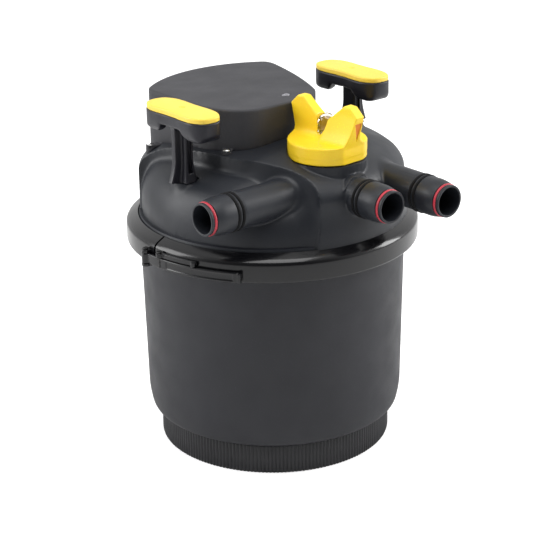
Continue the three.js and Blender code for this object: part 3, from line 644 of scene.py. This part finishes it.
def lid_field(X, Y, Z):
    """High part, shelf, valve shoulder and tower, three pipes, seats for the handles, and every bore."""
    plan = outline_distance(X, Y, HIGH_PLAN)
    body = both(high_dome(X, Y, Z), plan, 0.8)
    body = join(body, low_shelf(X, Y, Z), 6 + 20 * ease(X, -105, -70) * ease(-Y, 40, 80))
    body = join(body, valve_block(X, Y, Z), 3)
    tower = both(np.hypot(X, Y - VALVE_Y) - TOWER_R, Z - TOWER_TOP, 1)
    body = join(body, tower, 2)
    along_a = np.hypot(Y - VALVE_Y, Z - PORT_Z)
    along_b = np.hypot(X, Z - PORT_Z)
    along_c = np.hypot(X - PORT_C_X, Z - PORT_Z)
    pipe_a = both(along_a - PORT_R - PIPE_EXTRA, slab(X, PORT_A_MOUTH + PIPE_END, 0), 1)
    pipe_b = both(along_b - PORT_R - PIPE_EXTRA, slab(Y, PORT_B_MOUTH + PIPE_END, 0), 1)
    pipe_c = both(along_c - PORT_R - PIPE_EXTRA, slab(Y, PORT_C_MOUTH + PIPE_END, 0), 1)
    body = join(body, pipe_a, 3 + 4 * ease(X, -105, -60))
    x, z = np.abs(X), np.abs(Z - PORT_Z)
    collar = both(np.maximum(np.maximum(x, z), (x + z) * 0.72) - 26.5, slab(Y, -171, -120), 0.8)
    body = join(body, collar, 1.0)
    body = join(body, pipe_b, 1.0)
    body = join(body, pipe_c, 5)
    for side, foot in ((-1, LEFT_FOOT), (1, RIGHT_FOOT)):
        seat = both(np.hypot(X - side * ROD_X, Y) - 15, Z - foot + 1, 1)
        body = join(body, seat, 6)
    body = both(body, 316.5 - Z)
    body = cut(body, both(np.hypot(X, Y - VALVE_Y) - KNOB_R - 1, TOWER_TOP - Z), 0.5)
    for side, foot in ((-1, LEFT_FOOT), (1, RIGHT_FOOT)):
        seat = brick(X, Y, Z, (side * ROD_X - 11, -17, foot - 0.6), (side * ROD_X + 11, 17, 440))
        body = cut(body, seat)
    for along, past_end in ((along_a, X), (along_b, Y + 100), (along_c, Y + 90)):
        body = cut(body, both(along - BORE_R, past_end, 1))
    for side in (-1, 1):
        body = cut(body, np.hypot(X - side * ROD_X, Y) - ROD_HOLE_R)
    return body


def make_lid(m):
    carve("lid_shell", lid_field, (-180, -222, 312), (180, 180, 436), 2.0, m["lid"], "canister",
          ["lid"], keep=0.5)
    profile = rounded([
        (164, 301), (RIM_R, 301, 1), (RIM_R, 308.5, 1.5), (178.5, 316, 2), (177, 322), (164, 322)])
    build("lid_rim", *spun(profile, 192), m["lid"], "canister", "lid")


# ---------------------------------------------------------------- ports
def port_matrix(side, x, y):
    """Stands a port, made along +Z from its root, along -X or -Y."""
    turn = Matrix.Rotation(-math.pi / 2, 4, "Y") if side == "left" else Matrix.Rotation(math.pi / 2, 4, "X")
    return Matrix.Translation((x * MM, y * MM, PORT_Z * MM)) @ turn


def make_port(m, key, side, x, y, length, root):
    """A hose port: plain pipe from root, two grooves with black rings, a body, a red ring and the lip."""
    e = length
    profile = rounded([
        (BORE_R, root), (PORT_R, root), (PORT_R, e - 49.6, 0.5), (GROOVE_R, e - 49.5), (GROOVE_R, e - 44.9),
        (PORT_R, e - 44.8, 0.5), (PORT_R, e - 42.7, 0.5), (GROOVE_R, e - 42.6), (GROOVE_R, e - 38.0),
        (PORT_R + 0.2, e - 37.9, 0.5), (PORT_R + 0.2, e - 19, 4), (22.0, e - 8.4, 0.8), (19.8, e - 8.2),
        (19.8, e - 4), (20.9, e - 3.8, 0.5), (20.9, e, 0.9), (BORE_R, e, 0.9)])
    matrix = port_matrix(side, x, y)
    build(f"port_pipe_{key}", *spun(profile, 96), m["lid"], "canister", "lid", matrix=matrix)
    ring = oval(20.8, e - 6.1, 0.9, 1.9)
    build(f"red_ring_{key}", *spun(ring, 96), m["rubber_red"], "canister", "rubber_red", [f"port_ring_{key}"],
          matrix=matrix)
    for index, back in ((1, 40.3), (2, 47.2)):
        seal = oval(23.7, e - back, 1.5, 2.0)
        build(f"black_ring_{key}{index}", *spun(seal, 96), m["rubber_black"], "canister", "rubber_black",
              [f"port_seal_{key}{index}"], matrix=matrix)


# ---------------------------------------------------------------- housing
def housing_outline():
    """Seen from above: the rear follows the drum, the right side slants in towards the valve."""
    left, front, rear = HOUSING_LEFT, HOUSING_FRONT, HOUSING_REAR_R

    def bend(a, b, c, steps):
        return [tuple((1 - t) ** 2 * np.array(a) + 2 * t * (1 - t) * np.array(b) + t * t * np.array(c))
                for t in np.linspace(0, 1, steps, endpoint=False)]

    right_corner = on_circle(rear, REAR_START)
    back_corner = on_circle(rear, REAR_END)
    points = [(left + 60 + (20 - left - 60) * t, front) for t in (0, 0.33, 0.66)]
    points += bend((20, front), (38, front + 2), (56, -25), 8)
    points += bend((56, -25), (84, 32), (100, 104), 12)
    points += bend((100, 104), (107, 127), right_corner, 8)
    points += arc(rear, REAR_START, REAR_END, 28)
    points += bend(back_corner, (left + 1, back_corner[1] - 6), (left, 110), 7)[1:]
    points += [(left, 110 - 98 * t) for t in (0, 0.33, 0.66)]
    points += bend((left, 12), (left + 12, front), (left + 60, front), 14)
    return points


def dome_height(x, y):
    return DOME_Z + DOME_RISE * math.sqrt(max(0.0, 1 - (x * x + y * y) / LID_R ** 2))


def make_housing(m):
    """A flat-topped cover that sits on the dome, with an ear and a counterbore for each screw."""
    outline = housing_outline()

    def field(X, Y, Z):
        body = both(outline_distance(X, Y, outline), Z - HOUSING_TOP, 3.2)
        for x, y in EARS:
            inward = np.array([-10 - x, 45 - y], float)
            inward *= 10 / np.linalg.norm(inward)
            along = np.clip(((X - x) * inward[0] + (Y - y) * inward[1]) / 100, 0, 1.6)
            reach = np.hypot(X - x - along * inward[0], Y - y - along * inward[1])
            top = dome_height(x + inward[0], y + inward[1]) + 2.4
            body = join(body, both(reach - 6.5, Z - top, 1.2), 1.5)
            floor = dome_height(x + inward[0] / 2, y + inward[1] / 2) + 1
            body = cut(body, both(np.hypot(X - x, Y - y) - 5.3, floor - Z), 0.5)
        window = np.hypot((X - WINDOW_X) / 6.4, (Y - WINDOW_Y) / 4.6) - 1
        body = cut(body, both(window * 4.6, HOUSING_TOP - 6 - Z))
        return both(body, -high_dome(X, Y, Z) - 0.6)

    carve("lamp_housing", field, (-132, -58, 388), (114, 170, 480), 1.5, m["housing"], "canister",
          ["housing_cover"], keep=0.5)


# ---------------------------------------------------------------- knob
# Half of a wing's section, from the drum's rim in to the wing's tip. Each wing is gentle on one side.
GENTLE_FLANK = [
    (54, 437.3), (36, 438.4), (25, 439.6), (18, 441.8), (13.5, 449.5), (10.6, 458), (8.6, 467), (7.2, 476),
    (7, 482), (7, 492)]
STEEP_FLANK = [
    (54, 437.3), (36, 438.4), (25, 439.6), (16, 441.6), (10.6, 445), (8.4, 451), (7.8, 460), (7.3, 470),
    (7, 480), (7, 492)]


def flank_distance(X, Z, flank):
    return outline_distance(np.abs(X), Z, smooth_curve(flank, 4) + [(-20, 492), (-20, 425), (54, 425)])


def knob_field(X, Y, Z):
    """A drum with two leaning wings, whose flanks flare out to the drum's rim."""
    r = np.hypot(X, Y)
    drum = both(both(r - KNOB_R, slab(Z, KNOB_LOW, KNOB_RIM_TOP), 2.2), np.abs(Y) - KNOB_FLAT, 0.8)
    side = outline_distance(np.abs(Y), Z, [
        (-20, 425), (KNOB_FLAT, 425), (KNOB_FLAT, KNOB_LEAN_Z), (KNOB_REACH, 477), (46, KNOB_TOP - 0.6),
        (36, KNOB_TOP), (2, 461.5), (-20, 461.5)])
    gentle = flank_distance(X, Z, GENTLE_FLANK)
    steep = flank_distance(X, Z, STEEP_FLANK)
    flank = steep + (gentle - steep) * (0.5 + 0.5 * np.tanh(X * Y / 60))
    cone = (r - KNOB_R - 0.23 * np.maximum(Z - KNOB_LEAN_Z, 0)) * 0.97
    wings = both(both(side, flank, 1.6), cone, 1)
    knob = join(drum, wings, 1.2)
    knob = cut(knob, both(r - 12.6, 446 - Z), 0.6)
    sunk = (Y + KNOB_FLAT - 1.6 + KNOB_LEAN * (Z - KNOB_LEAN_Z)) * 0.95
    pointer = both(outline_distance(X, Z, [(-6.5, 469), (6.5, 469), (3, 443)]), sunk)
    knob = cut(knob, pointer, 0.4)
    return cut(knob, both(r - 42, Z - 420))


def make_knob(m):
    matrix = Matrix.Translation((0, VALVE_Y * MM, 0)) @ Matrix.Rotation(math.radians(KNOB_TURN), 4, "Z")
    carve("selector_knob", knob_field, (-54, -61, 414), (54, 61, 492), 0.8, m["knob"], "valve",
          ["valve_knob"], keep=0.5, matrix=matrix, angle=28)
    corners = [(-6.3, 468.8), (6.3, 468.8), (3, 443.4)]
    front = [(x, -(KNOB_FLAT - 1.3 + KNOB_LEAN * (z - KNOB_LEAN_Z)), z) for x, z in corners]
    back = [(x * 0.9, y + 1.2, z) for x, y, z in front]
    faces = [(0, 2, 1), (3, 4, 5), (0, 1, 4, 3), (1, 2, 5, 4), (2, 0, 3, 5)]
    build("pointer_mark", front + back, faces, m["pointer"], "valve", "knob", matrix=matrix)
    dome = rounded([(0, 447), (12.2, 447, 0.5), (12.2, 460, 5), (9.5, 469, 4), (0, 473)])
    build("sight_glass", *spun(dome, 64), m["clear"], "valve", "clear", ["sight_dome"], matrix=matrix)


# ---------------------------------------------------------------- handles
def grip_outline(inset):
    """The handgrip seen from above: round ends and a slight waist."""
    half, wide = GRIP_LENGTH / 2 - inset, GRIP_WIDTH / 2 - inset
    quarter = [
        (wide - 1.6, 0), (wide - 1.2, half * 0.2), (wide - 0.1, half * 0.42), (wide - 0.6, half * 0.66),
        (wide - 4.5, half * 0.84), (wide * 0.5, half * 0.965), (0, half)]
    rear = quarter + [(-x, y) for x, y in reversed(quarter[:-1])]
    full = rear[:-1] + [(-x, -y) for x, y in rear[:-1]]
    return smooth_curve(full + [full[0]], 4)[:-1]


# From the side, half of the grip's underside, and from its end, half of the grip's section.
GRIP_LOBES = [
    (-10, 480), (66, 480), (66, 467), (63, 458), (55, 451), (45, 449.5), (31, 450), (25, 454), (20, 461),
    (-10, 462)]
GRIP_SECTION = [(-10, 480), (26, 480), (23.5, 466), (20, 456), (15, 448), (-10, 448)]


def handle_field(foot, outward):
    """A deep grip whose two lobes hang beside a stem that widens again at its foot, with a fin outside."""
    outline = grip_outline(0)

    def field(X, Y, Z):
        plan = outline_distance(X, Y, outline)
        lobes = outline_distance(np.abs(Y), Z, GRIP_LOBES)
        section = outline_distance(np.abs(X), Z, GRIP_SECTION)
        bar = both(both(plan, lobes, 5), both(section, Z - 476), 2)
        hollow = both(both(np.abs(X) - 8, slab(np.abs(Y), 22, 50)), Z - 462)
        low = np.clip((foot + 30 - Z) / 30, 0, 1) ** 1.6
        wide, thick = 12.3 + 4.2 * low, 6.6 + 3.2 * low
        stem = both(both(np.abs(Y) - wide, np.abs(X) - thick, 4), slab(Z, foot, 472))
        fin = both(both(slab(X * outward, 0, 16.5 + 7 * low), np.abs(Y) - 4, 1.5), slab(Z, foot, 460))
        stem = join(stem, fin, 3)
        groove = both(both(np.abs(X) - 3.2, 8.5 - np.abs(Y)), slab(Z, foot + 12, 446), 1)
        return join(cut(bar, hollow, 2), cut(stem, groove, 1), 6)

    return field


def make_handle(m, side, x, foot):
    matrix = Matrix.Translation((x * MM, 0, 0))
    shape = handle_field(foot, 1 if x > 0 else -1)
    carve(f"t_handle_{side}", shape, (-27, -66, foot - 3), (27, 66, 479), 1.0, m["handle"], "squeezer",
          [f"handle_{side}"], keep=0.55, matrix=matrix)
    outline = grip_outline(0.5)

    def insert(X, Y, Z):
        crown = 1.4 * (1 - (Y / 62) ** 2) + 0.5 * (1 - (X / 23) ** 2)
        top = Z - (GRIP_TOP - 1.9 + crown)
        dimple = np.sqrt(X ** 2 + Y ** 2 + (Z - GRIP_TOP - 5) ** 2) - 6.8
        return cut(both(both(outline_distance(X, Y, outline), top, 2.2), 476.4 - Z), dimple, 0.8)

    carve(f"grip_top_{side}", insert, (-26, -65, 474), (26, 65, 487), 0.9, m["insert"], "squeezer",
          [f"grip_insert_{side}"], keep=0.6, matrix=matrix)


# ---------------------------------------------------------------- clamp lever
def strip(X, Y, inner, outer, start, end):
    """Seen from above, a curved strip along the band between two angles."""
    bearing = np.degrees(np.arctan2(Y, X)) % 360
    middle, half = (start + end) / 2, (end - start) / 2
    one_degree = math.radians(LATCH_R)
    along = (np.abs(bearing - middle) - half) * one_degree
    return both(slab(np.hypot(X, Y), inner, outer), along, 0.8)


def eye(X, Y, bearing, radius):
    """Seen from above, the round end of a clamp part."""
    x, y = on_circle(LATCH_R, bearing)
    return np.hypot(X - x, Y - y) - radius


def lever_field(X, Y, Z):
    """A curved arm along the band, with a lip at its free end and a sunk face."""
    arm = strip(X, Y, BAND_R + 0.6, BAND_R + 5.6, LEVER_PIVOT + 1, LEVER_END)
    plan = join(arm, eye(X, Y, LEVER_PIVOT, 5.4), 2)
    plan = join(plan, strip(X, Y, BAND_R + 4, BAND_R + 8.5, LEVER_END - 1.2, LEVER_END), 1.5)
    body = both(plan, slab(Z, 286.0, 299.5), 1.2)
    face = strip(X, Y, BAND_R + 4.8, BAND_R + 9, LINK_PIN + 3.5, LEVER_END - 3)
    return cut(body, both(face, slab(Z, 288.6, 297), 0.8), 0.6)


def link_field(X, Y, Z):
    """The draw link, which runs from its pin in the lever to the catch."""
    plan = join(strip(X, Y, BAND_R + 0.6, BAND_R + 4.2, LINK_PIN, CATCH + 2.5), eye(X, Y, LINK_PIN, 4.8), 2)
    plan = join(plan, eye(X, Y, CATCH + 1.5, 3.4), 1.5)
    return both(both(plan, BAND_R + 0.5 - np.hypot(X, Y)), slab(Z, 300.3, 306.8), 1.0)


def clevis_field(X, Y, Z):
    """The two ears on the band that hold the lever's pin."""
    plan = join(eye(X, Y, LEVER_PIVOT, 5.6), strip(X, Y, 190, 197, LEVER_PIVOT - 2.6, LEVER_PIVOT + 1.6), 2)
    ears = join(slab(Z, 281.6, 285.6), slab(Z, 299.9, 303.9))
    return both(plan, ears, 0.8)


def lug_field(X, Y, Z):
    """The catch on the band that the link's end hooks behind."""
    return both(strip(X, Y, 191, 197.2, CATCH - 0.9, CATCH + 0.7), slab(Z, 301, 306.2), 0.8)


def make_latch(m):
    carve("clamp_lever", lever_field, (-208, -134, 284), (-148, 22, 302), 0.9, m["clamp"], "lever",
          ["latch_lever"], keep=0.6)
    carve("clamp_link", link_field, (-206, -78, 298), (-178, -9, 309), 0.8, m["clamp"], "link",
          ["latch_link"], keep=0.6)
    carve("clamp_clevis", clevis_field, (-208, 6, 279), (-186, 24, 306), 0.7, m["clamp"], "canister")
    carve("catch_lug", lug_field, (-192, -70, 299), (-176, -56, 308), 0.6, m["clamp"], "canister")


# ---------------------------------------------------------------- screws and the rest
def make_screws(m):
    for index in range(len(EARS)):
        low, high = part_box(f"cover_screw_{index + 1}")
        x, y, top = (low.x + high.x) / 2, (low.y + high.y) / 2, high.z
        profile = rounded([(0, -22), (2, -22), (2, -3), (SCREW_HEAD_R, -3, 0.3), (SCREW_HEAD_R, -1.6, 1.0),
                           (3.2, -0.2, 1.2), (0, 0)])
        build(f"pan_screw_{index + 1}", *spun(profile, 40), m["steel"], "canister", "steel",
              [f"cover_screw_{index + 1}"], matrix=Matrix.Translation((x, y, top)))


def make_window(m):
    """The small oval lens through which the lamp's glow is checked."""
    low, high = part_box("lamp_window")
    middle, top = (low + high) / 2, high.z / MM
    profile = rounded([
        (0, -6), (6, -6), (6, -0.4, 0.5), (5.0, 0, 0.4), (4.6, -0.3, 0.3), (3, 0.7, 2), (0, 1)])
    shape = Matrix.Translation((middle.x, middle.y, top * MM)) @ Matrix.Diagonal((1, 0.7, 1, 1))
    build("window_lens", *spun(profile, 48), m["lens"], "canister", "clear", ["lamp_window"], matrix=shape)


def make_foam(m):
    """Four soft rings with rounded ribs."""
    boxes = [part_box(f"foam_ring_{i}") for i in range(1, 5)]
    for index, (start, end) in enumerate(boxes, 1):
        bottom, top = start.z / MM, end.z / MM
        rib = (top - bottom) / 4
        profile = [(46.4, bottom + 1), (48, bottom)]
        for step in range(4):
            z = bottom + step * rib
            profile += [(119, z), (124.5, z + 1.2), (126, z + rib * 0.35), (126, z + rib * 0.6),
                        (124, z + rib - 2.2), (119, z + rib - 1.2)]
        profile += [(119, top), (48, top), (46.4, top - 1)]
        piece = build(f"foam_ribbed_{index}", *spun(profile, 96), m["foam"], "canister", "foam",
                      [f"foam_ring_{index}"])
        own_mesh(piece)


def dress_frame(m):
    """Every solid of the frame gets its slot's finish, and the clamp's pins are blackened."""
    slots = {part["node"]: part["material_slot"] for part in frame["record"]["subparts"]}
    slots["lever_pin"] = slots["link_pin"] = "pin"
    for name, node in frame["nodes"].items():
        node.data.materials.clear()
        node.data.materials.append(m[slots[name]])


def make_all():
    make_camera()
    make_studio()
    m = make_materials()
    dress_frame(m)
    make_bucket(m)
    make_base_ring(m)
    make_band(m)
    make_lid(m)
    make_port(m, "a", "left", -30, VALVE_Y, -PORT_A_MOUTH - 30, 100)
    make_port(m, "b", "front", 0, VALVE_Y - 30, VALVE_Y - 30 - PORT_B_MOUTH, 20)
    make_port(m, "c", "front", PORT_C_X, -110, -110 - PORT_C_MOUTH, 80)
    make_housing(m)
    make_knob(m)
    make_handle(m, "left", -ROD_X, LEFT_FOOT)
    make_handle(m, "right", ROD_X, RIGHT_FOOT)
    make_latch(m)
    make_screws(m)
    make_window(m)
    make_foam(m)


make_all()
